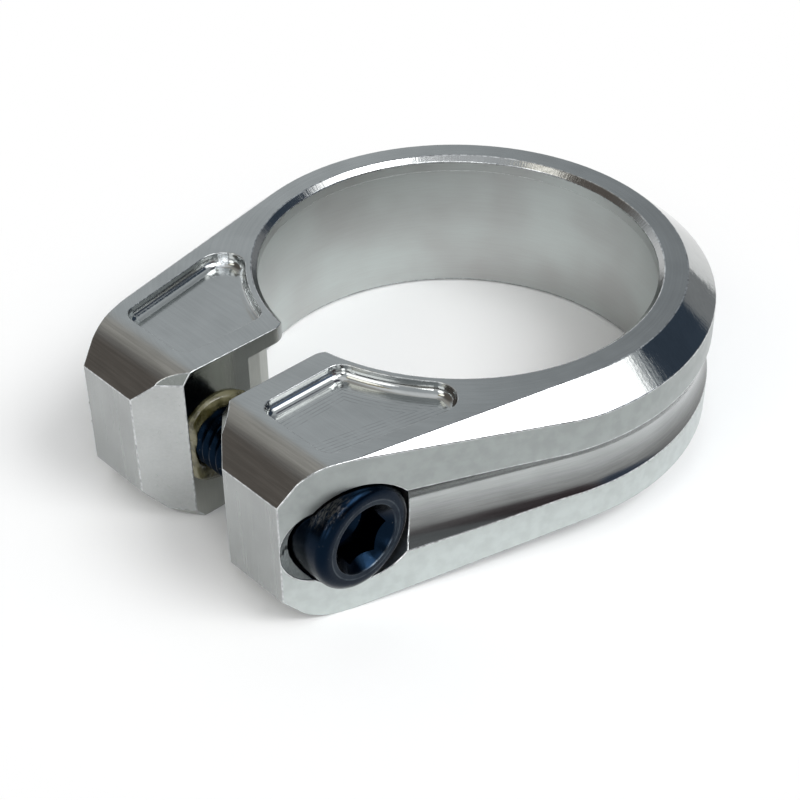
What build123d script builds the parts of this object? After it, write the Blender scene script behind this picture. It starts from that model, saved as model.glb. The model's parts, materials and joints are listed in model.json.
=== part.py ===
"""Seatpost clamp: a split ring with two ears, drawn together by one cross bolt.

The origin lies on the bore axis at the bottom face. +Z points up along the seatpost, the ears
point toward -Y, and the bolt runs along X with its head on the +X side. All sizes are millimetres.
"""

import os
from math import acos, atan2, cos, degrees, hypot, sin, sqrt

from build123d import *

# Ring
body_height = 13.8
seat_tube_radius = 17.45
lip_bore_radius = 15.95
lip_thickness = 1.4
lip_top_bevel = 0.45
bore_bottom_bevel = 0.2
ring_outer_radius = 20.6
rim_bevel_width = 2.35
rim_bevel_drop = 2.05

# Ears, seen in plan
ear_front_y = -28.35
ear_front_half_width = 11.35
bevel_runout_y = -23.4

# Ears, seen from the side: a flat top, a round that ends in a crease, and a flat slope
round_start_y = -24.4
round_radius = 4.05
round_end_angle = 39.0
front_slope_drop = 2.5

# Slot between the ears
slot_width = 4.5
slot_mouth_widening = 3.15
slot_mouth_depth = 2.68
slot_lip_corner_radius = 1.6
slot_relief_start_y = -19.7
slot_relief_turn_y = -18.35
slot_relief_turn_depth = 0.35
slot_relief_end_depth = 0.95

# Worn corner of each ear, where its round, its slot face and the slot's mouth meet
corner_start_y = -24.9
corner_slot_drop = 0.93
corner_mouth_drop = 1.05
corner_mouth_share = 0.51
corner_cutter_width = 6.0
corner_cutter_depth = 1.0

# Pocket in the top of each ear
pocket_slot_wall = 2.0
pocket_bore_wall = 0.45
pocket_flank_wall_front = 1.25
pocket_flank_wall_back = 1.65
pocket_front_y = -24.05
pocket_depth = 1.1
pocket_corner_radius = 1.3
pocket_tip_radius = 1.9
pocket_floor_radius = 0.75

# Groove round the outside at mid height
groove_radius = 3.9
groove_ring_depth = 0.6
groove_end_depth = 1.57
groove_end_inset = 3.1

# Cross bolt, a socket head cap screw
bolt_axis_y = -22.8
bolt_face_x = 14.15
bolt_diameter = 5.0
bolt_length = 20.0
bolt_head_diameter = 8.5
bolt_head_height = 5.0
bolt_head_edge_radius = 0.75
bolt_tip_chamfer = 0.6
hex_across_flats = 4.0
hex_depth = 2.6
hex_lead_in_radius = 2.95
hex_lead_in_angle = 90.0

# Fits of the bolt
head_side_clearance = 0.15
head_seat_clearance = 0.02
shank_clearance = 0.15
thread_clearance = 0.05

# Ring of set thread sealant round the bolt, on the threaded ear's slot face
sealant_radius = 3.9
sealant_height = 0.9
sealant_crest_width = 0.3
sealant_shoulder_radius = 1.4

# Worked-out sizes
mid_height = body_height / 2
half_slot = slot_width / 2
lip_underside = body_height - lip_thickness
bolt_radius = bolt_diameter / 2
counterbore_radius = bolt_head_diameter / 2 + head_side_clearance
head_base_x = bolt_face_x - bolt_head_height
counterbore_floor_x = head_base_x - head_seat_clearance
reach = 2 * (ring_outer_radius - ear_front_y)


def tangent_point(radius, point):
    """Return where the tangent from a point touches a circle round the bore axis, on the +X side."""
    angle = atan2(point[1], point[0]) + acos(radius / hypot(*point))
    return radius * cos(angle), radius * sin(angle)


def point_beside(start, end, length, side):
    """Return the point at a length from start toward end, moved to the right of that line by side."""
    run = hypot(end[0] - start[0], end[1] - start[1])
    step_x = (end[0] - start[0]) / run
    step_y = (end[1] - start[1]) / run
    return start[0] + step_x * length + step_y * side, start[1] + step_y * length - step_x * side


def point_at_y(start, end, y):
    """Return the point of the line start-end at a given y."""
    return start[0] + (end[0] - start[0]) * (y - start[1]) / (end[1] - start[1]), y


def point_at_radius(start, end, radius):
    """Return the first point past start, on the line start-end, at a distance from the bore axis."""
    run = hypot(end[0] - start[0], end[1] - start[1])
    step = ((end[0] - start[0]) / run, (end[1] - start[1]) / run)
    to_foot = -(start[0] * step[0] + start[1] * step[1])
    offset = start[0] * step[1] - start[1] * step[0]
    travel = to_foot - sqrt(radius**2 - offset**2)
    return start[0] + step[0] * travel, start[1] + step[1] * travel


def mirrored(point):
    """Return the point on the other side of the YZ plane."""
    return -point[0], point[1]


def teardrop(radius, side_end, side_start):
    """Draw a round back of a radius, two straight sides that touch it and a straight front."""
    ThreePointArc(side_end, (0, radius), mirrored(side_end))
    Polyline(mirrored(side_end), mirrored(side_start), side_start, side_end)


# Flank line of the ears, and the line that the top face ends at
flank_start = (ear_front_half_width, ear_front_y)
flank_end = tangent_point(ring_outer_radius, flank_start)
top_line_start = point_at_y(flank_start, flank_end, bevel_runout_y)
top_line_end = tangent_point(ring_outer_radius - rim_bevel_width, top_line_start)
rim_bevel_angle = degrees(atan2(rim_bevel_width, rim_bevel_drop))

# Rim bevel: everything below and inside the slanted sides that spread down from the top face
with BuildPart() as bevel_envelope:
    with BuildSketch(Plane.XY.offset(body_height)):
        with BuildLine():
            teardrop(
                ring_outer_radius - rim_bevel_width,
                top_line_end,
                point_at_y(top_line_start, top_line_end, 2 * ear_front_y),
            )
        make_face()
    extrude(amount=body_height, dir=(0, 0, -1), taper=-rim_bevel_angle)

# Pocket cutter, drawn for the +X ear, with rounded floor edges
pocket_line_start = point_beside(top_line_start, top_line_end, 0, -pocket_flank_wall_front)
pocket_line_end = point_beside(top_line_end, top_line_start, 0, pocket_flank_wall_back)
pocket_slot_x = half_slot + pocket_slot_wall
pocket_bore_radius = lip_bore_radius + lip_top_bevel + pocket_bore_wall
pocket_front_corner = point_at_y(pocket_line_start, pocket_line_end, pocket_front_y)
pocket_bore_corner = (pocket_slot_x, -sqrt(pocket_bore_radius**2 - pocket_slot_x**2))
tip_line_start = point_beside(pocket_line_start, pocket_line_end, 0, -pocket_tip_radius)
tip_line_end = point_beside(pocket_line_end, pocket_line_start, 0, pocket_tip_radius)
tip_centre = point_at_radius(tip_line_start, tip_line_end, pocket_bore_radius + pocket_tip_radius)
tip_on_flank = point_beside(tip_centre, tip_line_end, 0, pocket_tip_radius)
tip_on_bore = point_beside(tip_centre, (0, 0), pocket_tip_radius, 0)
with BuildPart() as pocket_cutter:
    with BuildSketch(Plane.XY.offset(body_height - pocket_depth)) as pocket_sketch:
        with BuildLine():
            Polyline(
                pocket_bore_corner,
                (pocket_slot_x, pocket_front_y),
                pocket_front_corner,
                tip_on_flank,
            )
            RadiusArc(tip_on_flank, tip_on_bore, -pocket_tip_radius)
            RadiusArc(tip_on_bore, pocket_bore_corner, pocket_bore_radius)
        make_face()
        for corner in (pocket_bore_corner, (pocket_slot_x, pocket_front_y), pocket_front_corner):
            fillet(pocket_sketch.vertices().sort_by_distance(corner)[0], radius=pocket_corner_radius)
    extrude(amount=pocket_depth + 1)
    fillet(pocket_cutter.faces().sort_by(Axis.Z)[0].edges(), radius=pocket_floor_radius)

# Groove cutter: a ball-nosed tool's track from ear to ear round the back of the ring
groove_track_radius = ring_outer_radius - groove_ring_depth + groove_radius
groove_track_start = point_beside(flank_start, flank_end, groove_end_inset, groove_radius - groove_end_depth)
groove_track_end = tangent_point(groove_track_radius, groove_track_start)
with BuildLine(Plane.XY.offset(mid_height)) as groove_track:
    Line(groove_track_start, groove_track_end)
    ThreePointArc(groove_track_end, (0, groove_track_radius), mirrored(groove_track_end))
    Line(mirrored(groove_track_end), mirrored(groove_track_start))
with BuildPart() as groove_cutter:
    with BuildSketch(Plane(groove_track.line @ 0, z_dir=groove_track.line % 0)):
        Circle(groove_radius)
    sweep(path=groove_track.line)
    with Locations(groove_track.line @ 0, groove_track.line @ 1):
        Sphere(groove_radius)

# Corner cutter, a slab whose underside is the worn facet of the +X ear's upper corner
mouth_start_y = ear_front_y + slot_mouth_depth
corner_start = Vector(half_slot, corner_start_y, body_height)
corner_slot_end = Vector(half_slot, mouth_start_y, body_height - corner_slot_drop)
corner_mouth_end = Vector(
    half_slot + corner_mouth_share * slot_mouth_widening,
    mouth_start_y - corner_mouth_share * slot_mouth_depth,
    body_height - corner_mouth_drop,
)
corner_normal = (corner_slot_end - corner_start).cross(corner_mouth_end - corner_start)
with BuildPart() as corner_cutter:
    with BuildSketch(Plane(corner_start, z_dir=corner_normal)):
        Rectangle(corner_cutter_width, corner_cutter_width)
    extrude(amount=corner_cutter_depth)
    mirror(about=Plane.YZ)
    mirror(about=Plane.XY.offset(mid_height))

# Clamp body, one machined piece
with BuildPart() as clamp_body:
    with BuildSketch():
        with BuildLine():
            teardrop(ring_outer_radius, flank_end, flank_start)
        make_face()
    extrude(amount=body_height)
    add(bevel_envelope.part, mode=Mode.INTERSECT)
    mirror(bevel_envelope.part, about=Plane.XY.offset(mid_height), mode=Mode.INTERSECT)

    # Sloped fronts of the ears, above and below
    with BuildSketch(Plane.YZ):
        with BuildLine():
            ear_round = CenterArc(
                (round_start_y, body_height - round_radius),
                round_radius,
                90,
                round_end_angle,
            )
            Polyline(
                ear_round @ 0,
                (ring_outer_radius, body_height),
                (ring_outer_radius, mid_height),
                (ear_front_y, mid_height),
                (ear_front_y, body_height - front_slope_drop),
                ear_round @ 1,
            )
        make_face()
        mirror(about=Plane.XZ.offset(-mid_height))
    extrude(amount=reach, both=True, mode=Mode.INTERSECT)

    # Pockets in the ears and the groove round the outside
    add(pocket_cutter.part, mode=Mode.SUBTRACT)
    mirror(pocket_cutter.part, about=Plane.YZ, mode=Mode.SUBTRACT)
    add(groove_cutter.part, mode=Mode.SUBTRACT)

    # Bore for the seat tube, open to the slot through two facets on each side below the lip
    relief_end_x = half_slot + slot_relief_end_depth
    with BuildSketch():
        Circle(seat_tube_radius)
        with BuildLine():
            Polyline(
                (0, slot_relief_start_y),
                (half_slot, slot_relief_start_y),
                (half_slot + slot_relief_turn_depth, slot_relief_turn_y),
                (relief_end_x, -sqrt(seat_tube_radius**2 - relief_end_x**2)),
                (0, 0),
                close=True,
            )
        make_face()
        mirror(about=Plane.YZ)
    extrude(amount=lip_underside, mode=Mode.SUBTRACT)

    # Lip bore, with bevels at the two ends of the bore
    with BuildSketch():
        Circle(lip_bore_radius)
    extrude(amount=body_height, mode=Mode.SUBTRACT)
    with BuildSketch(Plane.XZ):
        with BuildLine():
            Polyline(
                (0, body_height),
                (lip_bore_radius + lip_top_bevel, body_height),
                (lip_bore_radius, body_height - lip_top_bevel),
                (0, body_height - lip_top_bevel),
                close=True,
            )
        make_face()
        with BuildLine():
            Polyline(
                (0, 0),
                (seat_tube_radius + bore_bottom_bevel, 0),
                (seat_tube_radius, bore_bottom_bevel),
                (0, bore_bottom_bevel),
                close=True,
            )
        make_face()
    revolve(axis=Axis.Z, mode=Mode.SUBTRACT)

    # Slot, flared at its mouth and rounded where it meets the lip
    with BuildSketch() as slot_sketch:
        Circle(lip_bore_radius)
        with BuildLine():
            Polyline(
                (0, 0),
                (half_slot, 0),
                (half_slot, mouth_start_y),
                (half_slot + slot_mouth_widening, ear_front_y),
                (0, ear_front_y),
                close=True,
            )
        make_face()
        mirror(about=Plane.YZ)
        fillet(slot_sketch.vertices().group_by(Axis.Y)[-1], radius=slot_lip_corner_radius)
        Circle(lip_bore_radius, mode=Mode.SUBTRACT)
    extrude(amount=body_height, mode=Mode.SUBTRACT)
    add(corner_cutter.part, mode=Mode.SUBTRACT)

    # Counterbore and clearance hole in the head's ear, threaded hole in the other ear
    bolt_line = Plane((0, bolt_axis_y, mid_height), x_dir=(0, 1, 0), z_dir=(1, 0, 0))
    with BuildSketch(bolt_line.offset(counterbore_floor_x)):
        Circle(counterbore_radius)
    extrude(amount=reach, mode=Mode.SUBTRACT)
    with BuildSketch(bolt_line):
        Circle(bolt_radius + shank_clearance)
    extrude(amount=reach, mode=Mode.SUBTRACT)
    with BuildSketch(bolt_line):
        Circle(bolt_radius + thread_clearance)
    extrude(amount=-reach, mode=Mode.SUBTRACT)
clamp_body.part.label = "clamp_body"

# Cross bolt, its thread drawn as a plain shank
with BuildPart() as clamp_bolt:
    with BuildSketch(bolt_line.offset(head_base_x)):
        Circle(bolt_head_diameter / 2)
    extrude(amount=bolt_head_height)
    fillet(clamp_bolt.edges().sort_by(Axis.X)[-1], radius=bolt_head_edge_radius)
    with BuildSketch(bolt_line.offset(head_base_x)):
        Circle(bolt_radius)
    extrude(amount=-bolt_length)
    chamfer(clamp_bolt.edges().sort_by(Axis.X)[0], length=bolt_tip_chamfer)
    with BuildSketch(bolt_line.offset(bolt_face_x)):
        RegularPolygon(hex_across_flats / 2, 6, major_radius=False)
    extrude(amount=-hex_depth, mode=Mode.SUBTRACT)
    with Locations(bolt_line.offset(bolt_face_x)):
        CounterSinkHole(
            hex_across_flats / 2,
            hex_lead_in_radius,
            depth=hex_depth,
            counter_sink_angle=hex_lead_in_angle,
        )
clamp_bolt.part.label = "clamp_bolt"

# Sealant ring, squeezed out round the bolt where it enters the threaded ear, and cut off at the slot's mouth
sealant_bore_radius = bolt_radius + thread_clearance
with BuildPart() as sealant_ring:
    with BuildSketch(Plane.XY.offset(mid_height)):
        with BuildLine():
            sealant_foot = Line(
                (-half_slot, bolt_axis_y + sealant_radius),
                (-half_slot, bolt_axis_y + sealant_bore_radius),
            )
            sealant_crest = Polyline(
                sealant_foot @ 1,
                (-half_slot + sealant_height, bolt_axis_y + sealant_bore_radius),
                (-half_slot + sealant_height, bolt_axis_y + sealant_bore_radius + sealant_crest_width),
            )
            RadiusArc(sealant_crest @ 1, sealant_foot @ 0, -sealant_shoulder_radius)
        make_face()
    revolve(axis=Axis((0, bolt_axis_y, mid_height), (1, 0, 0)))
    split(bisect_by=Plane.XZ.offset(-mouth_start_y), keep=Keep.BOTTOM)
sealant_ring.part.label = "sealant_ring"

os.makedirs("parts", exist_ok=True)
export_step(clamp_body.part, "parts/clamp_body.step")
export_step(clamp_bolt.part, "parts/clamp_bolt.step")
export_step(sealant_ring.part, "parts/sealant_ring.step")
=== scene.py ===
"""Seatpost clamp: the finish of its machined ring, bolt and sealant, and the studio round them.

Lengths in the classes are millimetres, and the meshes are metres. The clamp's own frame holds
everything: the bore axis is Z, the ears point toward -Y and the bolt's head is on the +X side.
"""

import json
import logging
import math
from collections.abc import Callable
from dataclasses import dataclass, field
from enum import Enum

import bmesh
import bpy
from mathutils import Matrix, Vector, noise

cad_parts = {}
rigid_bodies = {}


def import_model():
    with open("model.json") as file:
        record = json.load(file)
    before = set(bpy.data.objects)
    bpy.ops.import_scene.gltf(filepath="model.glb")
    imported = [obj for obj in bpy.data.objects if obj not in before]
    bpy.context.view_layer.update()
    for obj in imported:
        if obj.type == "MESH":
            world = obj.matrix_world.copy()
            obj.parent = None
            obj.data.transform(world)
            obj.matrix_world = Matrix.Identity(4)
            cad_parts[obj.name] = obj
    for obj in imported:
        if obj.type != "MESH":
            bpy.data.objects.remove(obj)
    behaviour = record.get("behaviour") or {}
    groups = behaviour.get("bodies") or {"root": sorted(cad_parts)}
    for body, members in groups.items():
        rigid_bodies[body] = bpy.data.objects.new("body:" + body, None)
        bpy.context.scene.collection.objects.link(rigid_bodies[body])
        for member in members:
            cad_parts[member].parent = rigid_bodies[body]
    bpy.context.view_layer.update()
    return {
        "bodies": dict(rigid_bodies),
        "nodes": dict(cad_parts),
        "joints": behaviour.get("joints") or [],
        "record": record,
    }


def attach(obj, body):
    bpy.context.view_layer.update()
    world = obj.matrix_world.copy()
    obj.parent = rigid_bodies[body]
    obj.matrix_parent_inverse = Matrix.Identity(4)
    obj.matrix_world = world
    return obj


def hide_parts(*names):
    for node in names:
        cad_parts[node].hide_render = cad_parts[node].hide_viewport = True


MM = 0.001
BOLT_AXIS = (-22.8, 6.9)  # where the bolt's axis crosses the YZ plane
BOLT_FACE_X = 14.15  # the outer face of the bolt's head
BORE_RADIUS = 17.45
SLOT_HALF_WIDTH = 2.25
FINE = 3.0  # the layers of a noise with fine detail
log = logging.getLogger("clamp")

Colour = tuple[float, float, float]
Direction = tuple[float, float, float]
Span = tuple[float, float]
Socket = bpy.types.NodeSocket


class ShaderGraph:
    """The node tree of a material or a world, with short calls for the nodes that are used."""

    def __init__(self, owner: bpy.types.Material | bpy.types.World) -> None:
        """Start from an empty tree.

        Args:
            owner: the material or world whose tree is filled.
        """
        owner.use_nodes = True
        self.tree = owner.node_tree
        self.tree.nodes.clear()

    def node(
        self, kind: str, inputs: dict[str | int, object] | None = None, **settings: object
    ) -> bpy.types.Node:
        """Add one node.

        Args:
            kind: the node's type name without its ShaderNode prefix.
            inputs: what each input gets, either a plain value or an output socket to link.
            settings: properties of the node itself.

        Returns:
            The new node.
        """
        made = self.tree.nodes.new("ShaderNode" + kind)
        for name, value in settings.items():
            setattr(made, name, value)
        for key, value in (inputs or {}).items():
            if isinstance(value, Socket):
                self.tree.links.new(value, made.inputs[key])
            else:
                made.inputs[key].default_value = value
        return made

    def math(
        self, operation: str, first: object, second: object = 0.0, third: object = 0.0
    ) -> Socket:
        """Add a Math node.

        Args:
            operation: the name of the operation.
            first: its first value.
            second: its second value, where it has one.
            third: its third value, where it has one.

        Returns:
            The result.
        """
        return self.node("Math", {0: first, 1: second, 2: third}, operation=operation).outputs[0]

    def times(self, first: object, second: object) -> Socket:
        """Multiply two numbers."""
        return self.math("MULTIPLY", first, second)

    def from_level(self, value: object, level: object) -> Socket:
        """Give how far a number is from a level, without its sign."""
        return self.math("ABSOLUTE", self.math("SUBTRACT", value, level))

    def vector(self, operation: str, first: object, second: object, output: int = 0) -> Socket:
        """Add a Vector Math node.

        Args:
            operation: the name of the operation.
            first: its first vector.
            second: its second vector.
            output: 0 for a vector result, 1 for a number.

        Returns:
            The result.
        """
        return self.node("VectorMath", {0: first, 1: second}, operation=operation).outputs[output]

    def scaled(self, value: Socket, share: object) -> Socket:
        """Scale a vector or a colour by a number."""
        return self.node("VectorMath", {0: value, "Scale": share}, operation="SCALE").outputs[0]

    def parts(self, value: Socket) -> list[Socket]:
        """Give the X, Y and Z of a vector."""
        return list(self.node("SeparateXYZ", {0: value}).outputs)

    def from_bore_axis(self, x: Socket, y: Socket) -> Socket:
        """Give the distance from the bore's axis."""
        return self.math("SQRT", self.math("ADD", self.times(x, x), self.times(y, y)))

    def fade(
        self, value: Socket, start: float, end: float, low: float = 0.0, high: float = 1.0
    ) -> Socket:
        """Pass smoothly from one number to another while a value runs from start to end.

        Args:
            value: what runs.
            start: where the change begins.
            end: where it ends; it may be below start.
            low: the result up to start.
            high: the result from end on.

        Returns:
            The result.
        """
        if start > end:
            start, end, low, high = end, start, high, low
        inputs = {"Value": value, "From Min": start, "From Max": end, "To Min": low, "To Max": high}
        return self.node("MapRange", inputs, interpolation_type="SMOOTHSTEP").outputs[0]

    def mix(self, share: object, first: object, second: object) -> Socket:
        """Mix two colours.

        Args:
            share: how much of the second shows, from 0 to 1.
            first: a colour or an output.
            second: a colour or an output.

        Returns:
            The mixed colour.
        """
        made = self.node("Mix", {0: share}, data_type="RGBA")
        for key, value in ((6, first), (7, second)):
            if isinstance(value, Socket):
                self.tree.links.new(value, made.inputs[key])
            else:
                made.inputs[key].default_value = (*value, 1.0)
        return made.outputs[2]

    def noise(
        self, place: Socket, size: float, detail: float = 2.0, roughness: float = 0.5
    ) -> Socket:
        """Add a Noise Texture.

        Args:
            place: the coordinates, in millimetres.
            size: the width of one of its spots in millimetres.
            detail: how many finer layers it has.
            roughness: how strong the finer layers are.

        Returns:
            A number from 0 to 1.
        """
        inputs = {"Vector": place, "Scale": 1.0 / size, "Detail": detail, "Roughness": roughness}
        return self.node("TexNoise", inputs).outputs[0]

    def millimetres(self) -> Socket:
        """Give the place on the piece in millimetres."""
        return self.scaled(self.node("TexCoord").outputs["Object"], 1.0 / MM)

    def principled(self, relief: Socket, inputs: dict[str | int, object]) -> None:
        """Add the piece's shader, with a fine relief, and send it to the output.

        Args:
            relief: the height of the relief in millimetres.
            inputs: what the shader's other inputs get.
        """
        bump = self.node("Bump", {"Strength": 1.0, "Distance": MM, "Height": relief})
        self.surface(self.node("BsdfPrincipled", {**inputs, "Normal": bump.outputs[0]}))

    def surface(self, shader: bpy.types.Node) -> None:
        """Send a shader to the material's output."""
        self.node("OutputMaterial", {"Surface": shader.outputs[0]})


class ToolPath(Enum):
    """The direction in which a tool left its lines."""

    ALONG_X = "along X"
    ALONG_Z = "along Z"
    ALONG_FLANK = "along the flanks"
    ROUND_BORE = "round the bore"
    ACROSS_RIM = "across the rim"

    def coordinates(self, graph: ShaderGraph) -> Socket:
        """Give millimetre coordinates that change little along the lines.

        Args:
            graph: the tree to add to.

        Returns:
            A vector that runs slowly along the lines and at full rate across them.
        """
        x, y, z = graph.parts(graph.millimetres())
        radius = graph.from_bore_axis(x, y)
        slow = 0.04  # how much of the full rate is left along the lines
        rim_radius = 19.4  # where the lines across the rim have their full width
        if self is ToolPath.ALONG_X:
            parts = (graph.times(x, slow), y, z)
        elif self is ToolPath.ALONG_Z:
            parts = (graph.times(z, slow), x, y)
        elif self is ToolPath.ALONG_FLANK:
            parts = (graph.times(y, slow), graph.times(x, slow), z)
        elif self is ToolPath.ROUND_BORE:
            parts = (graph.times(graph.math("ADD", x, y), slow), radius, z)
        else:
            round_rim = graph.times(graph.math("ARCTAN2", x, y), rim_radius)
            parts = (graph.times(radius, slow * 2), round_rim, 0.0)
        return graph.node("CombineXYZ", dict(enumerate(parts))).outputs[0]


@dataclass(frozen=True)
class Grain:
    """A fine relief: the width of its lines or spots, and its depth."""

    width: float
    depth: float


@dataclass(frozen=True)
class MachinedFinish:
    """Bare aluminium as one tool leaves it, with lines along its path and a slight mottle.

    The low and high painted light scale the colour from the first of the painted light heights up
    to the second:
    painted light and shading by height. A streak of 1 gives the colour's changes to the lines
    alone, and 0 to the clouds.
    """

    name: str
    roughness: float
    path: ToolPath
    lines: Grain
    mottle: Grain
    colour: Colour = (0.47, 0.485, 0.482)
    contrast: float = 0.05
    least_contrast: float = 0.03
    streak: float = 0.4
    cloud_width: float = 3.5
    cloud_levels: Span = (0.3, 0.7)
    dark_tint: Colour = (1.0, 1.0, 1.0)
    metallic: float = 1.0
    low_painted_light: float = 1.0
    high_painted_light: float = 1.0
    painted_light_heights: Span = (1.5, 11.0)
    sheen_spread: Span = (0.75, 1.25)
    mark_depth: float = 0.003
    mark_share: float = 0.38
    mark_colour: Colour = (0.05, 0.05, 0.055)

    def material(self) -> bpy.types.Material:
        """Make the finish's material.

        Returns:
            The new material.
        """
        made = bpy.data.materials.new(self.name)
        graph = ShaderGraph(made)
        place = graph.millimetres()
        lines = graph.noise(self.path.coordinates(graph), self.lines.width, FINE, roughness=0.6)
        mottle = graph.noise(place, self.mottle.width, FINE, roughness=0.55)
        marks = self.marks(graph)
        relief = graph.times(mottle, self.mottle.depth)
        relief = graph.math("MULTIPLY_ADD", lines, self.lines.depth, relief)
        relief = graph.math("MULTIPLY_ADD", marks, -self.mark_depth, relief)
        marked = graph.times(marks, self.mark_share)
        least, most = (self.roughness * share for share in self.sheen_spread)
        inputs = {
            "Base Color": graph.mix(marked, self._bare(graph, lines), self.mark_colour),
            "Metallic": self.metallic,
            "Roughness": graph.math("MULTIPLY_ADD", lines, most - least, least),
        }
        graph.principled(relief, inputs)
        return made

    def _bare(self, graph: ShaderGraph, lines: Socket) -> Socket:
        """Colour the bare metal: clouded, streaked along the lines, and given painted light and
        shading by its height.

        Args:
            graph: the tree to add to.
            lines: the noise of the tool's lines.

        Returns:
            The colour.
        """
        place = graph.millimetres()
        cloud = graph.fade(graph.noise(place, self.cloud_width), *self.cloud_levels)
        streak = graph.fade(lines, *self.cloud_levels)
        clouded = graph.times(cloud, 1.0 - self.streak)
        share = graph.math("MULTIPLY_ADD", streak, self.streak, clouded)
        spread = self.least_contrast + self.contrast
        tinted = (part * tint for part, tint in zip(self.colour, self.dark_tint))
        dark = tuple(part * (1.0 - spread) for part in tinted)
        light = tuple(min(1.0, part * (1.0 + spread)) for part in self.colour)
        height_up = graph.parts(place)[2]
        # painted light and shading: the colour scaled by height between the low and high painted
        # light
        painted_shading = graph.fade(height_up, *self.painted_light_heights, self.low_painted_light, self.high_painted_light)
        return graph.scaled(graph.mix(share, dark, light), painted_shading)

    def marks(self, graph: ShaderGraph) -> object:
        """Tell where the tool cut marks that stand out, from 0 to 1; a plain finish has none."""
        return 0.0


@dataclass(frozen=True)
class PocketFloorFinish(MachinedFinish):
    """The floor of a milled pocket, with the end mill's nested passes in the +X pocket."""

    pass_pitch: float = 0.34
    pass_width: float = 0.1
    wander: Grain = Grain(1.2, 0.05)
    patch_width: float = 1.4
    patch_levels: Span = (0.4, 0.55)
    least_patch: float = 0.2
    slot_side: float = 4.25
    bore_side: float = 16.85
    flank_across: Direction = (0.973, -0.231, 0.0)
    flank_side: float = 16.8
    first_passes: Span = (0.6, 0.75)
    last_passes: Span = (2.4, 2.9)

    def marks(self, graph: ShaderGraph) -> Socket:
        """Cut the passes, which follow the pocket's slot, bore and flank sides.

        Args:
            graph: the tree to add to.

        Returns:
            1 in a pass and 0 beside it.
        """
        place = graph.millimetres()
        x, y, _ = graph.parts(place)
        from_slot = graph.math("SUBTRACT", x, self.slot_side)
        from_bore = graph.math("SUBTRACT", graph.from_bore_axis(x, y), self.bore_side)
        across = graph.vector("DOT_PRODUCT", place, self.flank_across, 1)
        from_flank = graph.math("SUBTRACT", self.flank_side, across)
        inside = graph.math("MINIMUM", graph.math("MINIMUM", from_slot, from_bore), from_flank)
        wander = graph.times(graph.noise(place, self.wander.width), self.wander.depth)
        count = graph.math("DIVIDE", graph.math("ADD", inside, wander), self.pass_pitch)
        half_width = self.pass_width / self.pass_pitch / 2
        ridge = graph.fade(graph.from_level(graph.math("FRACT", count), 0.5), half_width, 0.0)
        begun = graph.fade(inside, *self.first_passes)
        band = graph.times(begun, graph.fade(inside, *reversed(self.last_passes)))
        patches = graph.noise(place, self.patch_width, FINE)
        patchy = graph.fade(patches, *self.patch_levels, self.least_patch)
        return graph.times(graph.times(ridge, band), patchy)


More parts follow.
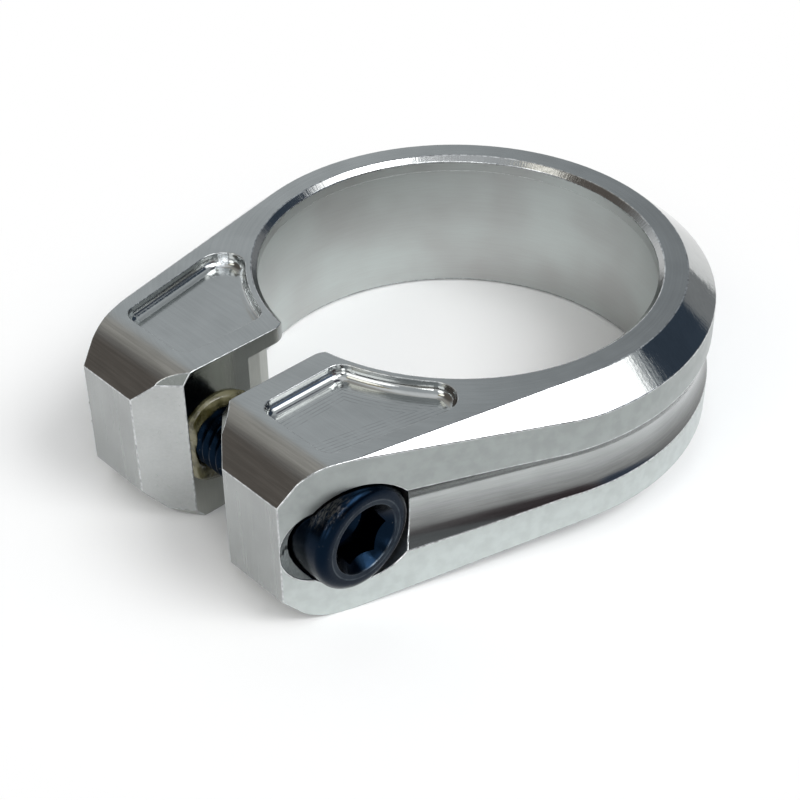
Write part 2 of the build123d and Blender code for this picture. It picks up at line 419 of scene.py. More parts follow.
class Surface(Enum):
    """The surfaces of the ring, each with the finish that its tool leaves."""

    TOP = MachinedFinish(
        "turned_top", 0.14, ToolPath.ROUND_BORE, Grain(0.2, 0.0002), Grain(0.4, 0.0005)
    )
    UNDERSIDE = MachinedFinish(
        "turned_underside", 0.16, ToolPath.ROUND_BORE, Grain(0.2, 0.0003), Grain(0.4, 0.0005)
    )
    BORE = MachinedFinish(
        "bored_wall",
        0.38,
        ToolPath.ROUND_BORE,
        Grain(0.12, 0.0009),
        Grain(1.5, 0.002),
        (0.395, 0.423, 0.414),
        contrast=0.1,
        streak=0.2,
        cloud_width=9.0,
        dark_tint=(1.03, 0.96, 0.97),
        # painted light: the bore's wall brighter towards its bottom
        low_painted_light=1.34,
        high_painted_light=1.06,
    )
    LIP_EDGE = MachinedFinish(
        "lip_bevel",
        0.13,
        ToolPath.ACROSS_RIM,
        Grain(0.22, 0.012),
        Grain(0.35, 0.007),
        (0.45, 0.46, 0.46),
    )
    RIM = MachinedFinish(
        "rim_bevel", 0.07, ToolPath.ACROSS_RIM, Grain(0.17, 0.005), Grain(0.25, 0.0045)
    )
    FLANK = MachinedFinish(
        "milled_flank",
        0.33,
        ToolPath.ALONG_FLANK,
        Grain(0.3, 0.0003),
        Grain(0.45, 0.0014),
        (0.455, 0.488, 0.48),
        contrast=0.035,
        streak=0.15,
        cloud_width=1.0,
        # painted light and shading: the flank lighter low down and darker high up
        low_painted_light=1.22,
        high_painted_light=0.74,
    )
    GROOVE = MachinedFinish(
        "milled_groove",
        0.14,
        ToolPath.ALONG_FLANK,
        Grain(0.12, 0.0026),
        Grain(0.6, 0.001),
        contrast=0.1,
        streak=0.6,
        # painted shading: the groove much darker towards its lower wall and lighter at its upper
        # one
        low_painted_light=0.22,
        high_painted_light=0.92,
        painted_light_heights=(3.9, 8.4),
    )
    GROOVE_END = MachinedFinish(
        "milled_groove_end",
        0.5,
        ToolPath.ALONG_X,
        Grain(0.2, 0.01),
        Grain(0.3, 0.06),
        (0.3, 0.33, 0.33),
        contrast=0.45,
        metallic=0.5,
    )
    EAR_TOP = MachinedFinish(
        "milled_ear_slope",
        0.14,
        ToolPath.ALONG_X,
        Grain(0.2, 0.003),
        Grain(0.25, 0.002),
        contrast=0.1,
        streak=0.7,
    )
    EAR_FRONT = MachinedFinish(
        "milled_ear_front",
        0.26,
        ToolPath.ALONG_Z,
        Grain(0.4, 0.0004),
        Grain(0.45, 0.0012),
        (0.36, 0.373, 0.37),
    )
    MOUTH = MachinedFinish(
        "milled_mouth", 0.24, ToolPath.ALONG_Z, Grain(0.3, 0.0004), Grain(0.35, 0.0016)
    )
    SLOT = MachinedFinish(
        "sawn_slot",
        0.14,
        ToolPath.ALONG_Z,
        Grain(0.14, 0.0018),
        Grain(0.6, 0.0008),
        (0.38, 0.39, 0.365),
    )
    POCKET_WALL = MachinedFinish(
        "milled_pocket_wall", 0.06, ToolPath.ALONG_X, Grain(0.3, 0.003), Grain(0.4, 0.004)
    )
    TORN_WALL = MachinedFinish(
        "torn_pocket_wall",
        0.22,
        ToolPath.ALONG_X,
        Grain(0.2, 0.01),
        Grain(0.16, 0.036),
        (0.75, 0.78, 0.8),
    )
    POCKET_FLOOR = PocketFloorFinish(
        "milled_pocket_floor", 0.14, ToolPath.ALONG_X, Grain(0.2, 0.0003), Grain(0.4, 0.0008)
    )
    SCREW_SEAT = MachinedFinish(
        "drilled_seat", 0.3, ToolPath.ALONG_X, Grain(0.2, 0.003), Grain(0.35, 0.01)
    )
    EDGE = MachinedFinish(
        "worn_edge",
        0.16,
        ToolPath.ACROSS_RIM,
        Grain(0.25, 0.003),
        Grain(0.25, 0.012),
        (0.5, 0.515, 0.52),
        contrast=0.3,
        streak=0.2,
        cloud_width=0.4,
    )


def show(name: str, data: bpy.types.ID) -> bpy.types.Object:
    """Put a new object into the scene.

    Args:
        name: its name.
        data: its mesh, camera or lamp.

    Returns:
        The new object.
    """
    made = bpy.data.objects.new(name, data)
    bpy.context.scene.collection.objects.link(made)
    return made


@dataclass
class ClampBody:
    """The machined ring with its two ears: its edges are broken and each surface gets its finish.

    The fields from slack on tell the surfaces apart: how far a place may be off a surface that
    it lies on, how nearly a face has to face a direction or how much it has to lean, and where
    the cuts begin and end.
    """

    height: float = 13.8
    ring_radius: float = 20.6
    rim_lower_edge: float = 11.75
    flank_across: Span = (0.936, -0.352)
    flank_offset: float = 20.602
    seat_radius: float = 4.4
    edge_break: float = 0.08
    sharp_angle: float = 16.0
    weld_distance: float = 0.002
    flat_angle: float = 0.2
    slack: float = 0.05
    wide_slack: float = 0.2
    facing: float = 0.99
    flank_facing: float = 0.999
    upright: float = 0.05
    nearly_upright: float = 0.1
    least_slope: float = 0.02
    lean: float = 0.2
    bevel_height: float = 0.5
    slot_wall_reach: float = 2.0
    slot_reach: float = 4.0
    slot_back: float = -16.0
    relief_side: float = 4.0
    pocket_back: float = -10.0
    pocket_front: float = -24.2
    pocket_floor: float = 12.7
    pocket_slot_side: float = 4.1
    pocket_bore_side: float = 16.7
    pocket_flank_side: float = 3.2
    ear_round_start: float = -24.35
    mouth_start: float = -25.0
    mouth_reach: float = 4.5
    rim_rise: Span = (0.6, 0.85)

    def build(self, source: bpy.types.Object) -> bpy.types.Object:
        """Make the ring that is shown.

        Args:
            source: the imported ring, whose shape and exact surface normals this one keeps.

        Returns:
            The finished ring.
        """
        mesh = source.data.copy()
        mesh.name = "ring"
        normals = mesh.attributes.new("surface_normal", "FLOAT_VECTOR", "CORNER")
        for stored, corner in zip(normals.data, mesh.corner_normals):
            stored.vector = corner.vector
        bm = bmesh.new()
        bm.from_mesh(mesh)
        bmesh.ops.remove_doubles(bm, verts=bm.verts, dist=self.weld_distance * MM)
        flat = math.radians(self.flat_angle)
        bmesh.ops.dissolve_limit(bm, angle_limit=flat, verts=bm.verts, edges=bm.edges)
        edge_faces = self._break_edges(bm)
        self._assign(bm, edge_faces)
        self._store_normals(bm, edge_faces)
        mesh.clear_geometry()
        mesh.materials.clear()
        bm.to_mesh(mesh)
        bm.free()
        shading = [item.vector.normalized() for item in mesh.attributes["surface_normal"].data]
        mesh.normals_split_custom_set(shading)
        mesh.attributes.remove(mesh.attributes["surface_normal"])
        for surface in Surface:
            mesh.materials.append(surface.value.material())
        ring = show("ring", mesh)
        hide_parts("clamp_body")
        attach(ring, "clamp")
        log.info("ring: %d faces, %d of them along its edges", len(mesh.polygons), len(edge_faces))
        return ring

    def _break_edges(self, bm: bmesh.types.BMesh) -> set[bmesh.types.BMFace]:
        """Bevel the outer edges.

        Args:
            bm: the ring's mesh.

        Returns:
            The faces along the edges.
        """
        limit = math.radians(self.sharp_angle)
        sharp = [
            edge
            for edge in bm.edges
            if len(edge.link_faces) == 2 and edge.calc_face_angle_signed() > limit
        ]
        made = bmesh.ops.bevel(
            bm,
            geom=sharp,
            offset=self.edge_break * MM,
            offset_type="OFFSET",
            segments=2,
            profile=0.5,
            affect="EDGES",
            clamp_overlap=False,
            loop_slide=True,
            miter_outer="ARC",
        )
        return set(made["faces"])

    def _store_normals(self, bm: bmesh.types.BMesh, edge_faces: set[bmesh.types.BMFace]) -> None:
        """Give each face along an edge the normals of the surfaces that it blends into.

        Args:
            bm: the ring's mesh, whose other corners hold the exact surface normals.
            edge_faces: the faces along the edges.
        """
        layer = bm.loops.layers.float_vector["surface_normal"]
        least_area = 1e-12
        for vert in bm.verts:
            beside = [loop for loop in vert.link_loops if loop.face not in edge_faces]
            along = [loop for loop in vert.link_loops if loop.face in edge_faces]
            if not along:
                continue
            total = Vector()
            for loop in beside:
                total += loop[layer].normalized() * max(loop.face.calc_area(), least_area)
            if not beside:
                for face in vert.link_faces:
                    total += face.normal * face.calc_area()
            for loop in along:
                loop[layer] = total.normalized()

    def _assign(self, bm: bmesh.types.BMesh, edge_faces: set[bmesh.types.BMFace]) -> None:
        """Give every face the material of its surface.

        Args:
            bm: the ring's mesh.
            edge_faces: the faces along the edges.
        """
        order = list(Surface)
        for face in bm.faces:
            face.smooth = True
            surface = Surface.EDGE if face in edge_faces else self._surface_at(face)
            face.material_index = order.index(surface)

    def _surface_at(self, face: bmesh.types.BMFace) -> Surface:
        """Tell which surface of the ring a face belongs to.

        Args:
            face: a face of the ring.

        Returns:
            The first surface whose test holds.
        """
        normal = face.normal
        place = face.calc_center_median() / MM
        y, z = place.y, place.z
        side = abs(place.x)
        from_slot = side - SLOT_HALF_WIDTH
        radius = math.hypot(place.x, y)
        outward = (place.x * normal.x + y * normal.y) / max(radius, 1.0)
        across_x, across_y = self.flank_across
        from_flank = self.flank_offset - (side * across_x + y * across_y)
        facing_flank = abs(normal.x) * across_x + normal.y * across_y
        from_bolt = math.hypot(y - BOLT_AXIS[0], z - BOLT_AXIS[1])
        rise = abs(normal.z)
        middle = self.height / 2
        near_top = z > self.height - self.bevel_height
        in_seat = from_bolt < self.seat_radius + 2 * self.slack and from_slot > self.wide_slack
        on_bore = radius < BORE_RADIUS + self.wide_slack and outward < self.lean
        on_bore = on_bore and (y > 0 or from_slot > self.slack)
        slot_wall = abs(normal.x) > self.facing and from_slot < self.slot_wall_reach
        in_relief = y < 0 and radius < BORE_RADIUS and side < self.relief_side
        in_pocket = side > self.pocket_slot_side and radius > self.pocket_bore_side
        in_pocket = in_pocket and from_flank > self.pocket_flank_side and y > self.pocket_front
        on_wall = in_pocket and z > self.pocket_floor - self.slack
        by_flank = normal.x * across_x - normal.y * across_y > self.lean
        on_slope = y < self.ear_round_start and abs(normal.x) < self.upright
        in_mouth = y < self.mouth_start and from_slot < self.mouth_reach
        at_rim = abs(z - middle) > self.rim_lower_edge - middle - self.wide_slack
        on_face = from_flank < self.slack or radius > self.ring_radius - 2 * self.slack
        tests = (
            (facing_flank > self.flank_facing and abs(from_flank) < self.slack, Surface.FLANK),
            (in_seat and y < -BORE_RADIUS, Surface.SCREW_SEAT),
            (normal.z > self.facing and (near_top or y > self.pocket_back), Surface.TOP),
            (normal.z > self.facing, Surface.POCKET_FLOOR),
            (normal.z < -self.facing, Surface.UNDERSIDE),
            (on_bore and near_top and normal.z > self.lean, Surface.LIP_EDGE),
            (on_bore, Surface.BORE),
            (slot_wall or in_relief, Surface.SLOT),
            (on_wall and place.x < 0 and by_flank, Surface.TORN_WALL),
            (on_wall, Surface.POCKET_WALL),
            (on_slope and rise > self.least_slope, Surface.EAR_TOP),
            (normal.y < -self.facing, Surface.EAR_FRONT),
            (in_mouth and rise < self.nearly_upright, Surface.MOUTH),
            (at_rim and self.rim_rise[0] < rise < self.rim_rise[1], Surface.RIM),
            (on_face and rise < self.upright, Surface.FLANK),
            (from_slot < self.slot_reach and y < self.slot_back, Surface.SLOT),
            (y < BOLT_AXIS[0], Surface.GROOVE_END),
            (True, Surface.GROOVE),
        )
        return next(surface for holds, surface in tests if holds)


@dataclass(frozen=True)
class BlackOxideFinish:
    """Blued steel with an oily depth, handling scuffs and fine wear, and a painted highlight on the
    ring of the head's face.
    """

    name: str = "black_oxide"
    colour: Colour = (0.0035, 0.009, 0.019)
    ring_highlight_colour: Colour = (0.05, 0.062, 0.075)
    scuff_colour: Colour = (0.11, 0.108, 0.105)
    least_roughness: float = 0.07
    roughness_spread: float = 0.3
    cloud_width: float = 0.8
    pits: Grain = Grain(0.3, 0.006)
    scuff_place: Direction = (12.4, -25.0, 10.3)
    scuff_reach: float = 2.6
    scuff_stretch: Direction = (3.0, 1.0, 0.35)
    scuff_width: float = 0.35
    scuff_gain: float = 0.18
    scuff_levels: Span = (0.58, 0.8)
    speck_width: float = 0.22
    speck_levels: Span = (0.7, 0.76)
    speck_strength: float = 0.5
    ring_radii: Span = (2.8, 3.2)
    ring_softness: float = 0.05
    ring_strength: float = 0.25
    ring_line: Span = (0.09, 0.02)
    ring_depths: Span = (0.16, 0.06)
    ring_patch_width: float = 0.9
    ring_patch_levels: Span = (0.35, 0.6)
    ring_least_patch: float = 0.25

    def material(self) -> bpy.types.Material:
        """Make the finish's material.

        Returns:
            The new material.
        """
        made = bpy.data.materials.new(self.name)
        graph = ShaderGraph(made)
        place = graph.millimetres()
        distance = graph.vector("DISTANCE", place, self.scuff_place, 1)
        near = graph.fade(distance, self.scuff_reach, self.scuff_reach / 4)
        stretched = graph.vector("MULTIPLY", place, self.scuff_stretch)
        scratches = graph.noise(stretched, self.scuff_width, detail=4.0, roughness=0.7)
        scratches = graph.math("MULTIPLY_ADD", near, self.scuff_gain, scratches)
        scuffs = graph.times(graph.fade(scratches, *self.scuff_levels), near)
        specks = graph.noise(place, self.speck_width)
        specks = graph.fade(specks, *self.speck_levels, 0.0, self.speck_strength)
        worn = graph.math("MAXIMUM", scuffs, specks)
        # painted highlight: the ring round the socket painted paler
        tone = graph.mix(self._painted_ring_highlight(graph), self.colour, self.ring_highlight_colour)
        tone = graph.mix(worn, tone, self.scuff_colour)
        relief = graph.times(graph.noise(place, self.pits.width, FINE), self.pits.depth)
        cloud = graph.noise(place, self.cloud_width, FINE)
        gloss = graph.math("MULTIPLY_ADD", cloud, self.roughness_spread, self.least_roughness)
        graph.principled(relief, {"Base Color": tone, "Metallic": 1.0, "Roughness": gloss})
        return made

    def _painted_ring_highlight(self, graph: ShaderGraph) -> Socket:
        """Tell where the head's face is painted paler as a highlight: a flat ring, most of all at
        its two rims.

        Args:
            graph: the tree to add to.

        Returns:
            0 on plain oxide, up to 1 where the painted highlight is palest.
        """
        place = graph.millimetres()
        x, y, z = graph.parts(place)
        across = graph.node("CombineXYZ", {1: y, 2: z}).outputs[0]
        radius = graph.vector("DISTANCE", across, (0.0, *BOLT_AXIS), 1)
        inner, outer = self.ring_radii
        ring = graph.times(
            graph.fade(radius, inner - self.ring_softness, inner),
            graph.fade(radius, outer + self.ring_softness, outer),
        )
        from_rims = [graph.from_level(radius, edge) for edge in self.ring_radii]
        rims = [graph.fade(distance, *self.ring_line) for distance in from_rims]
        patches = graph.noise(place, self.ring_patch_width, FINE)
        patchy = graph.fade(patches, *self.ring_patch_levels, self.ring_least_patch)
        level = graph.math(
            "MULTIPLY_ADD",
            graph.math("MAXIMUM", *rims),
            1.0 - self.ring_strength,
            graph.times(ring, self.ring_strength),
        )
        far, close = self.ring_depths
        near_face = graph.fade(x, BOLT_FACE_X - far, BOLT_FACE_X - close)
        return graph.times(graph.times(level, patchy), near_face)


def round_bolt(x: float, radius: float, angle: float) -> Vector:
    """Give the place, in metres, at a distance along X, a radius and an angle round the bolt."""
    y, z = BOLT_AXIS
    return Vector((x, y + radius * math.cos(angle), z + radius * math.sin(angle))) * MM


def ring_grid(
    bm: bmesh.types.BMesh, rows: int, steps: int, place: Callable[[int, int], Vector]
) -> list[list[bmesh.types.BMVert]]:
    """Make a tube of quads whose rows are closed rings.

    Args:
        bm: the mesh to add to.
        rows: the number of rings.
        steps: the number of points in each ring.
        place: gives the place of a point from its row and step.

    Returns:
        The points, ring by ring.
    """
    points = [[bm.verts.new(place(row, step)) for step in range(steps)] for row in range(rows)]
    for near, far in zip(points, points[1:]):
        for step in range(steps):
            after = (step + 1) % steps
            bm.faces.new((near[step], near[after], far[after], far[step]))
    return points


def finished_piece(
    bm: bmesh.types.BMesh,
    name: str,
    material: bpy.types.Material,
    body: str,
    node: str,
    crease: float,
) -> bpy.types.Object:
    """Turn a mesh into a shown piece of the clamp.

    Args:
        bm: the mesh, which is freed.
        name: the piece's name.
        material: its finish.
        body: the body that it rides on.
        node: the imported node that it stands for.
        crease: the angle in degrees above which an edge stays sharp.

    Returns:
        The new object.
    """
    bmesh.ops.recalc_face_normals(bm, faces=bm.faces)
    for face in bm.faces:
        face.smooth = True
    mesh = bpy.data.meshes.new(name)
    bm.to_mesh(mesh)
    bm.free()
    mesh.set_sharp_from_angle(angle=math.radians(crease))
    mesh.materials.append(material)
    piece = show(name, mesh)
    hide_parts(node)
    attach(piece, body)
    log.info("%s: %d faces", name, len(mesh.polygons))
    return piece


@dataclass
class ClampBolt:
    """The M5 socket head cap screw, with a real thread and hex socket.

    The under edge pairs the distance from under the head with how far the edge lies inside the
    head. The hex floor pairs the depth below the socket's floor with the radius. The flats of
    the thread's root and crest are shares of the pitch.
    """

    head_radius: float = 4.25
    head_height: float = 5.0
    head_edge_radius: float = 0.75
    head_edge_steps: int = 8
    under_edge: tuple[Span, ...] = ((0.0, 0.2), (0.06, 0.06), (0.2, 0.0))
    face_ring_radius: float = 3.2
    length: float = 20.0
    major_radius: float = 2.5
    minor_radius: float = 2.05
    pitch: float = 0.8
    root_flat: float = 0.2
    crest: Span = (0.44, 0.56)
    tip_chamfer: float = 0.6
    plain_shank: float = 2.0
    hex_across_flats: float = 4.0
    hex_depth: float = 2.6
    hex_floor: tuple[Span, ...] = ((0.0, 1.85), (0.7, 0.6), (0.95, 0.02))
    lead_in_radius: float = 2.8
    lead_in_depth: float = 0.06
    lead_in_round: float = 0.02
    weld_distance: float = 0.004
    crease: float = 28.0
    steps: int = 96

    def build(self) -> bpy.types.Object:
        """Make the screw.

        Returns:
            The finished screw.
        """
        bm = bmesh.new()
        self._tube(bm, self._outside())
        self._socket(bm)
        self._thread(bm)
        bmesh.ops.remove_doubles(bm, verts=bm.verts, dist=self.weld_distance * MM)
        finish = BlackOxideFinish().material()
        return finished_piece(
            bm, "cap_screw", finish, "bolt", "clamp_bolt", self.crease
        )

    def _angle(self, step: int) -> float:
        """Give the angle of a step round the screw."""
        return math.tau * step / self.steps

    def _tube(self, bm: bmesh.types.BMesh, profile: list[Span]) -> None:
        """Turn a profile, of pairs of X and radius, round the screw's axis."""
        ring_grid(
            bm,
            len(profile),
            self.steps,
            lambda row, step: round_bolt(*profile[row], self._angle(step)),
        )

    def _outside(self) -> list[Span]:
        """List the head's outside from under the head to the rim of the socket.

        Returns:
            Pairs of the place along X and the radius.
        """
        under = BOLT_FACE_X - self.head_height
        arc = self.head_edge_radius
        profile = [(under, self.major_radius)]
        profile += [(under + along, self.head_radius - inside) for along, inside in self.under_edge]
        for part in range(self.head_edge_steps + 1):
            turn = math.radians(90 * part / self.head_edge_steps)
            along = BOLT_FACE_X - arc + arc * math.sin(turn)
            profile.append((along, self.head_radius - arc + arc * math.cos(turn)))
        profile += [
            (BOLT_FACE_X, self.face_ring_radius),
            (BOLT_FACE_X - self.lead_in_depth / 2, self.lead_in_radius + self.lead_in_round),
            (BOLT_FACE_X - self.lead_in_depth, self.lead_in_radius),
        ]
        return profile

    def _hex_radius(self, angle: float) -> float:
        """Give the socket's radius at an angle."""
        sixth = math.pi / 3
        return self.hex_across_flats / 2 / math.cos((angle % sixth) - sixth / 2)

    def _socket(self, bm: bmesh.types.BMesh) -> None:
        """Cut the hex socket: its lead-in cone, its six walls and its pointed floor.

        Args:
            bm: the screw's mesh.
        """
        rim_x = BOLT_FACE_X - self.lead_in_depth
        floor_x = BOLT_FACE_X - self.hex_depth
        floor = [(floor_x - along, radius) for along, radius in self.hex_floor]

        def place(row: int, step: int) -> Vector:
            """Give a point of the socket.

            Args:
                row: 0 at the rim, 5 in the middle of the floor.
                step: the point's step round the screw.

            Returns:
                The place in metres.
            """
            angle = self._angle(step)
            flat = self._hex_radius(angle)
            cone_x = rim_x - (self.lead_in_radius - flat)
            rows = ((rim_x, self.lead_in_radius), (cone_x, flat), (floor_x, flat), *floor)
            return round_bolt(*rows[row], angle)

        rings = ring_grid(bm, 3 + len(floor), self.steps, place)
        bm.faces.new(rings[-1])

    def _thread(self, bm: bmesh.types.BMesh) -> None:
        """Wind the thread from the tip to the plain shank, and close the tip.

        Args:
            bm: the screw's mesh.
        """
        under = BOLT_FACE_X - self.head_height
        tip = under - self.length
        end = under - self.plain_shank
        roots = [(share, self.minor_radius) for share in (0.0, self.root_flat)]
        form = roots + [(share, self.major_radius) for share in self.crest]
        turns = int((end - tip) / self.pitch) + 3  # some more than fit, held at both ends
        count = turns * len(form)

        def place(row: int, step: int) -> Vector:
            """Give a point of the thread, held between the tip and the shank.

            Args:
                row: the line of the thread's form, which goes on from turn to turn.
                step: the point's step round the screw.

            Returns:
                The place in metres.
            """
            share, radius = form[row % len(form)]
            along = tip + (row // len(form) - 1 + share + step / self.steps) * self.pitch
            held = min(max(along, tip), end)
            tip_limit = self.major_radius - self.tip_chamfer + (held - tip)
            if along > end - self.pitch:
                run_out = min(1.0, (along - end + self.pitch) / self.pitch)
                radius += (self.major_radius - radius) * run_out
            return round_bolt(held, min(radius, tip_limit), self._angle(step))

        steps = range(self.steps)
        points = [[bm.verts.new(place(row, step)) for step in steps] for row in range(count)]
        for row in range(count - len(form) - 1):
            for step in steps:
                turned, after = divmod(step + 1, self.steps)
                ahead = row + turned * len(form)
                far = (points[ahead][after], points[ahead + 1][after])
                bm.faces.new((points[row][step], *far, points[row + 1][step]))
        self._tube(bm, [(end, self.major_radius), (under, self.major_radius)])
        bm.faces.new(points[0])


@dataclass(frozen=True)
class SealantFinish:
    """Set thread sealant: glossy and olive brown, darker where it is thick."""

    name: str = "set_sealant"
    dark: Colour = (0.04, 0.036, 0.012)
    light: Colour = (0.145, 0.135, 0.076)
    spot_width: float = 1.1
    spot_levels: Span = (0.35, 0.65)
    lumps: Grain = Grain(0.5, 0.08)
    gloss_width: float = 0.9
    least_roughness: float = 0.12
    roughness_spread: float = 0.25
    refraction: float = 1.5
    coat: float = 0.35

    def material(self) -> bpy.types.Material:
        """Make the finish's material.

        Returns:
            The new material.
        """
        made = bpy.data.materials.new(self.name)
        graph = ShaderGraph(made)
        place = graph.millimetres()
        thin = graph.fade(graph.noise(place, self.spot_width, FINE), *self.spot_levels)
        relief = graph.times(graph.noise(place, self.lumps.width, FINE, 0.6), self.lumps.depth)
        cloud = graph.noise(place, self.gloss_width)
        gloss = graph.math("MULTIPLY_ADD", cloud, self.roughness_spread, self.least_roughness)
        inputs = {
            "Base Color": graph.mix(thin, self.dark, self.light),
            "Roughness": gloss,
            "IOR": self.refraction,
            "Coat Weight": self.coat,
        }
        graph.principled(relief, inputs)
        return made


@dataclass
class SealantRing:
    """The uneven mound of sealant round the bolt, where it enters the threaded ear."""

    inner_radius: float = 2.5
    outer_radius: float = 3.9
    front_reach: float = 2.8
    height: float = 0.66
    foot_depth: float = 0.02
    edge_wander: float = 0.25
    edge_rate: float = 1.6
    swell_part: Span = (0.12, 0.86)
    swell_power: float = 0.6
    lump_level: float = 0.72
    lump_share: float = 0.4
    lump_rate: float = 2.3
    crease: float = 60.0
    steps: int = 144
    rows: int = 18

    def build(self) -> bpy.types.Object:
        """Make the mound.

        Returns:
            The finished mound.
        """
        bm = bmesh.new()
        ring_grid(bm, self.rows, self.steps, self._point)
        finish = SealantFinish().material()
        return finished_piece(
            bm, "sealant_bead", finish, "clamp", "sealant_ring", self.crease
        )

    def _point(self, row: int, step: int) -> Vector:
        """Give a point of the mound, from its outer foot (row 0) to the bolt.

        Args:
            row: the ring that the point is in.
            step: the point's step round the bolt.

        Returns:
            The place in metres.
        """
        angle = math.tau * step / self.steps
        share = row / (self.rows - 1)
        across = Vector((math.cos(angle), math.sin(angle), 0.0))
        wander = 0.5 + 0.5 * noise.noise(across * self.edge_rate + Vector((3.1, 0.0, 0.0)))
        reach = self.outer_radius - self.edge_wander * wander
        forward = -math.cos(angle)
        if forward > 0:
            reach = min(reach, self.front_reach / forward)
        radius = reach + (self.inner_radius - reach) * share
        along = -self.foot_depth
        if share > 0:
            start, part = self.swell_part
            swell = math.sin(math.pi * min(1.0, start + share * part)) ** self.swell_power
            lump = noise.noise(across * self.lump_rate + Vector((0.0, share * 1.4, 5.0)))
            lump = self.lump_level + self.lump_share * lump
            along = self.height * min(1.0, swell * lump)
        return round_bolt(along - SLOT_HALF_WIDTH, radius, angle)


@dataclass(frozen=True)
class Viewpoint:
    """Where the photograph was taken from, and through which lens."""

    azimuth: float = 47.101
    elevation: float = 37.38
    roll: float = -0.519
    distance: float = 141.376
    right_offset: float = -4.664
    up_offset: float = -0.525
    focal_pixels: float = 1670.9
    image_pixels: float = 800.0
    sensor_width: float = 36.0
    clip_start: float = 1.0

    def place(self) -> None:
        """Make the scene's camera."""
        turn, lift, roll = map(math.radians, (self.azimuth, self.elevation, self.roll))
        reach = math.cos(lift)
        back = Vector((math.sin(turn) * reach, -math.cos(turn) * reach, math.sin(lift)))
        level = Vector((math.cos(turn), math.sin(turn), 0.0))
        rise = back.cross(level)
        right = level * math.cos(roll) + rise * math.sin(roll)
        up = rise * math.cos(roll) - level * math.sin(roll)
        data = bpy.data.cameras.new("viewpoint")
        data.sensor_width = self.sensor_width
        data.lens = self.focal_pixels * self.sensor_width / self.image_pixels
        data.clip_start = self.clip_start * MM
        camera = show("viewpoint", data)
        frame = Matrix((right, up, back)).transposed().to_4x4()
        eye = back * self.distance + right * self.right_offset + up * self.up_offset
        frame.translation = eye * MM
        camera.matrix_world = frame
        bpy.context.scene.camera = camera


@dataclass(frozen=True)
class SkyPatch:
    """A soft-edged patch of the studio's surroundings, in one direction from the clamp."""

    toward: Direction
    half_angle: float
    softness: float
    colour: Colour


def grey(level: float) -> Colour:
    """Give an even grey; above 1 it shines."""
    return (level, level, level)


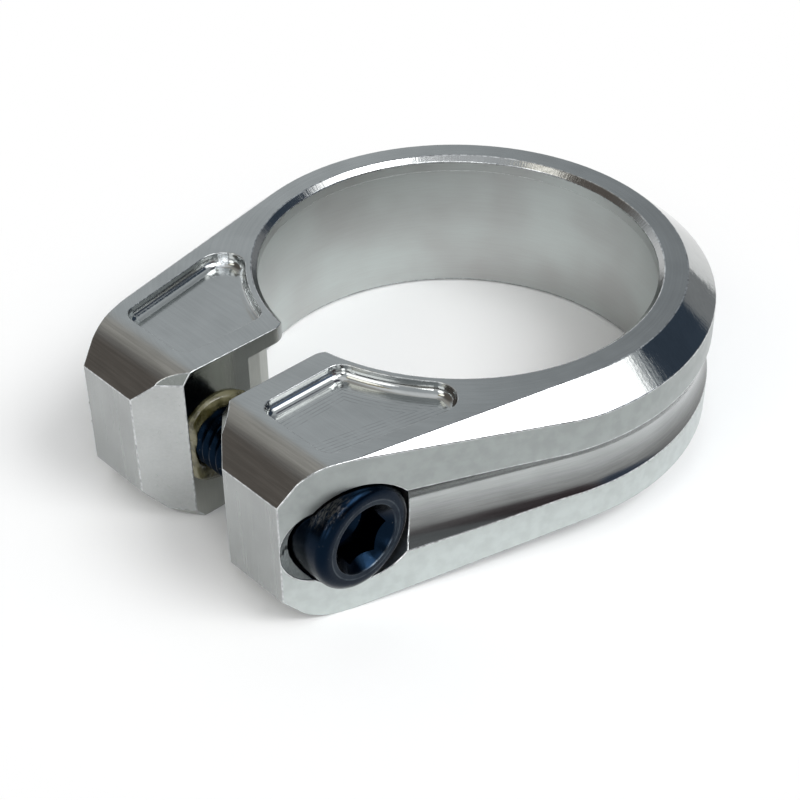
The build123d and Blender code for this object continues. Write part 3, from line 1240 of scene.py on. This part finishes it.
@dataclass
class Studio:
    """A pale floor, one soft lamp, and surroundings of pale walls with darker places.

    The floor and the lamp's distance and radius are metres. The walls' levels are heights on a
    sphere of radius 1 round the clamp. Each patch lies over the ones before it.
    """

    floor_radius: float = 3.0
    floor_steps: int = 96
    floor_colour: Colour = (0.96, 0.962, 0.96)
    paper_centre: Direction = (0.0, -4.0, 0.0)
    paper_reach: Span = (27.0, 50.0)
    horizon_colour: Colour = (0.9, 0.9, 0.9)
    wall_colour: Colour = (0.56, 0.59, 0.61)
    wall_levels: Span = (0.18, 0.42)
    overhead_colour: Colour = (0.95, 0.96, 0.98)
    overhead_levels: Span = (0.8, 0.97)
    lamp_toward: Direction = (0.6, 0.19, 0.78)
    lamp_distance: float = 0.8
    lamp_radius: float = 0.21
    lamp_power: float = 3.0
    patches: list[SkyPatch] = field(
        default_factory=lambda: [
            # seen in the ear slopes
            SkyPatch((-0.60, 0.02, 0.80), 17, 18, (0.45, 0.43, 0.4)),
            SkyPatch((-0.58, -0.66, 0.46), 30, 28, (0.15, 0.132, 0.118)),
            # seen in the pockets and in the bevels of the lip and the rim
            SkyPatch((-0.13, -0.48, 0.87), 5, 4, (0.42, 0.34, 0.18)),
            SkyPatch((0.03, -0.92, 0.40), 12, 5, grey(2.4)),
            SkyPatch((-0.17, -0.67, 0.70), 10, 4, (1.9, 1.85, 1.7)),
            SkyPatch((0.56, 0.50, 0.66), 8, 3, grey(2.4)),
            SkyPatch((0.68, 0.54, 0.50), 8, 4, grey(2.8)),
            # seen in the top and the back of the rim
            SkyPatch((-0.31, 0.78, 0.545), 15, 20, (0.29, 0.31, 0.33)),
            SkyPatch((0.00, 1.00, 0.08), 24, 14, (0.29, 0.3, 0.31)),
            SkyPatch((0.27, 0.85, 0.44), 17, 4, (0.05, 0.07, 0.1)),
            # seen in the groove, from its far end to its near one
            SkyPatch((0.62, 0.76, 0.20), 12, 6, (0.06, 0.075, 0.1)),
            SkyPatch((0.85, 0.48, 0.16), 15, 6, (0.15, 0.2, 0.3)),
            SkyPatch((0.95, 0.08, 0.24), 13, 6, (0.16, 0.12, 0.13)),
            # seen in the pocket walls, the bolt's head and the broken edges
            SkyPatch((-0.05, 0.34, 0.94), 12, 5, (0.1, 0.1, 0.13)),
            SkyPatch((0.58, -0.54, 0.60), 9, 6, (0.12, 0.11, 0.11)),
            SkyPatch((0.62, -0.28, 0.73), 10, 4, grey(4.0)),
            SkyPatch((0.58, -0.75, 0.30), 9, 5, grey(4.0)),
        ]
    )

    def build(self) -> None:
        """Make the floor, the surroundings and the lamp."""
        self._floor()
        self._surroundings()
        self._lamp()
        bpy.context.scene.view_settings.view_transform = "Standard"
        log.info("studio: floor, lamp and %d patches of the surroundings", len(self.patches))

    def _floor(self) -> None:
        """Make the floor that the clamp stands on."""
        bm = bmesh.new()
        bmesh.ops.create_circle(
            bm, cap_ends=True, segments=self.floor_steps, radius=self.floor_radius
        )
        mesh = bpy.data.meshes.new("floor")
        bm.to_mesh(mesh)
        bm.free()
        mesh.materials.append(self._paper())
        floor = show("floor", mesh)

    def _paper(self) -> bpy.types.Material:
        """Make the floor's paper, which holds the shadow and is plain white away from the clamp.

        Returns:
            The new material.
        """
        made = bpy.data.materials.new("pale_floor")
        graph = ShaderGraph(made)
        lit = graph.node("BsdfDiffuse", {"Color": (*self.floor_colour, 1.0)})
        white = graph.node("Emission", {"Color": (*grey(1.0), 1.0), "Strength": 1.0})
        rays = graph.node("LightPath").outputs
        mirrored = graph.math("ADD", rays["Is Glossy Ray"], rays["Is Transmission Ray"])
        seen = graph.math("MINIMUM", graph.math("ADD", rays["Is Camera Ray"], mirrored), 1.0)
        away = graph.vector("DISTANCE", graph.millimetres(), self.paper_centre, 1)
        share = graph.times(seen, graph.fade(away, *self.paper_reach))
        graph.surface(graph.node("MixShader", {0: share, 1: lit.outputs[0], 2: white.outputs[0]}))
        return made

    def _surroundings(self) -> None:
        """Make the world: pale low walls, greyer above, with the patches over them."""
        world = bpy.data.worlds.new("surroundings")
        bpy.context.scene.world = world
        graph = ShaderGraph(world)
        toward = graph.node("TexCoord").outputs["Generated"]
        height = graph.parts(toward)[2]
        up_wall = graph.fade(height, *self.wall_levels)
        colour = graph.mix(up_wall, self.horizon_colour, self.wall_colour)
        overhead = graph.fade(height, *self.overhead_levels)
        colour = graph.mix(overhead, colour, self.overhead_colour)
        for patch in self.patches:
            centre = Vector(patch.toward).normalized()
            closeness = graph.vector("DOT_PRODUCT", toward, tuple(centre), 1)
            outer = math.cos(math.radians(patch.half_angle + patch.softness / 2))
            inner = math.cos(math.radians(patch.half_angle - patch.softness / 2))
            colour = graph.mix(graph.fade(closeness, outer, inner), colour, patch.colour)
        sky = graph.node("Background", {"Color": colour, "Strength": 1.0})
        graph.node("OutputWorld", {"Surface": sky.outputs[0]})

    def _lamp(self) -> None:
        """Make the soft round lamp, high on the right."""
        data = bpy.data.lights.new("soft_lamp", "AREA")
        data.shape = "DISK"
        data.size = self.lamp_radius * 2
        data.energy = self.lamp_power
        lamp = show("soft_lamp", data)
        lamp.location = Vector(self.lamp_toward).normalized() * self.lamp_distance
        lamp.rotation_mode = "QUATERNION"
        lamp.rotation_quaternion = lamp.location.to_track_quat("Z", "Y")


def main() -> None:
    """Build the clamp's pieces, the studio and the camera."""
    logging.basicConfig(level=logging.INFO, format="%(message)s")
    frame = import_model()
    ClampBody().build(frame["nodes"]["clamp_body"])
    ClampBolt().build()
    SealantRing().build()
    Studio().build()
    Viewpoint().place()


if __name__ == "__main__":
    main()
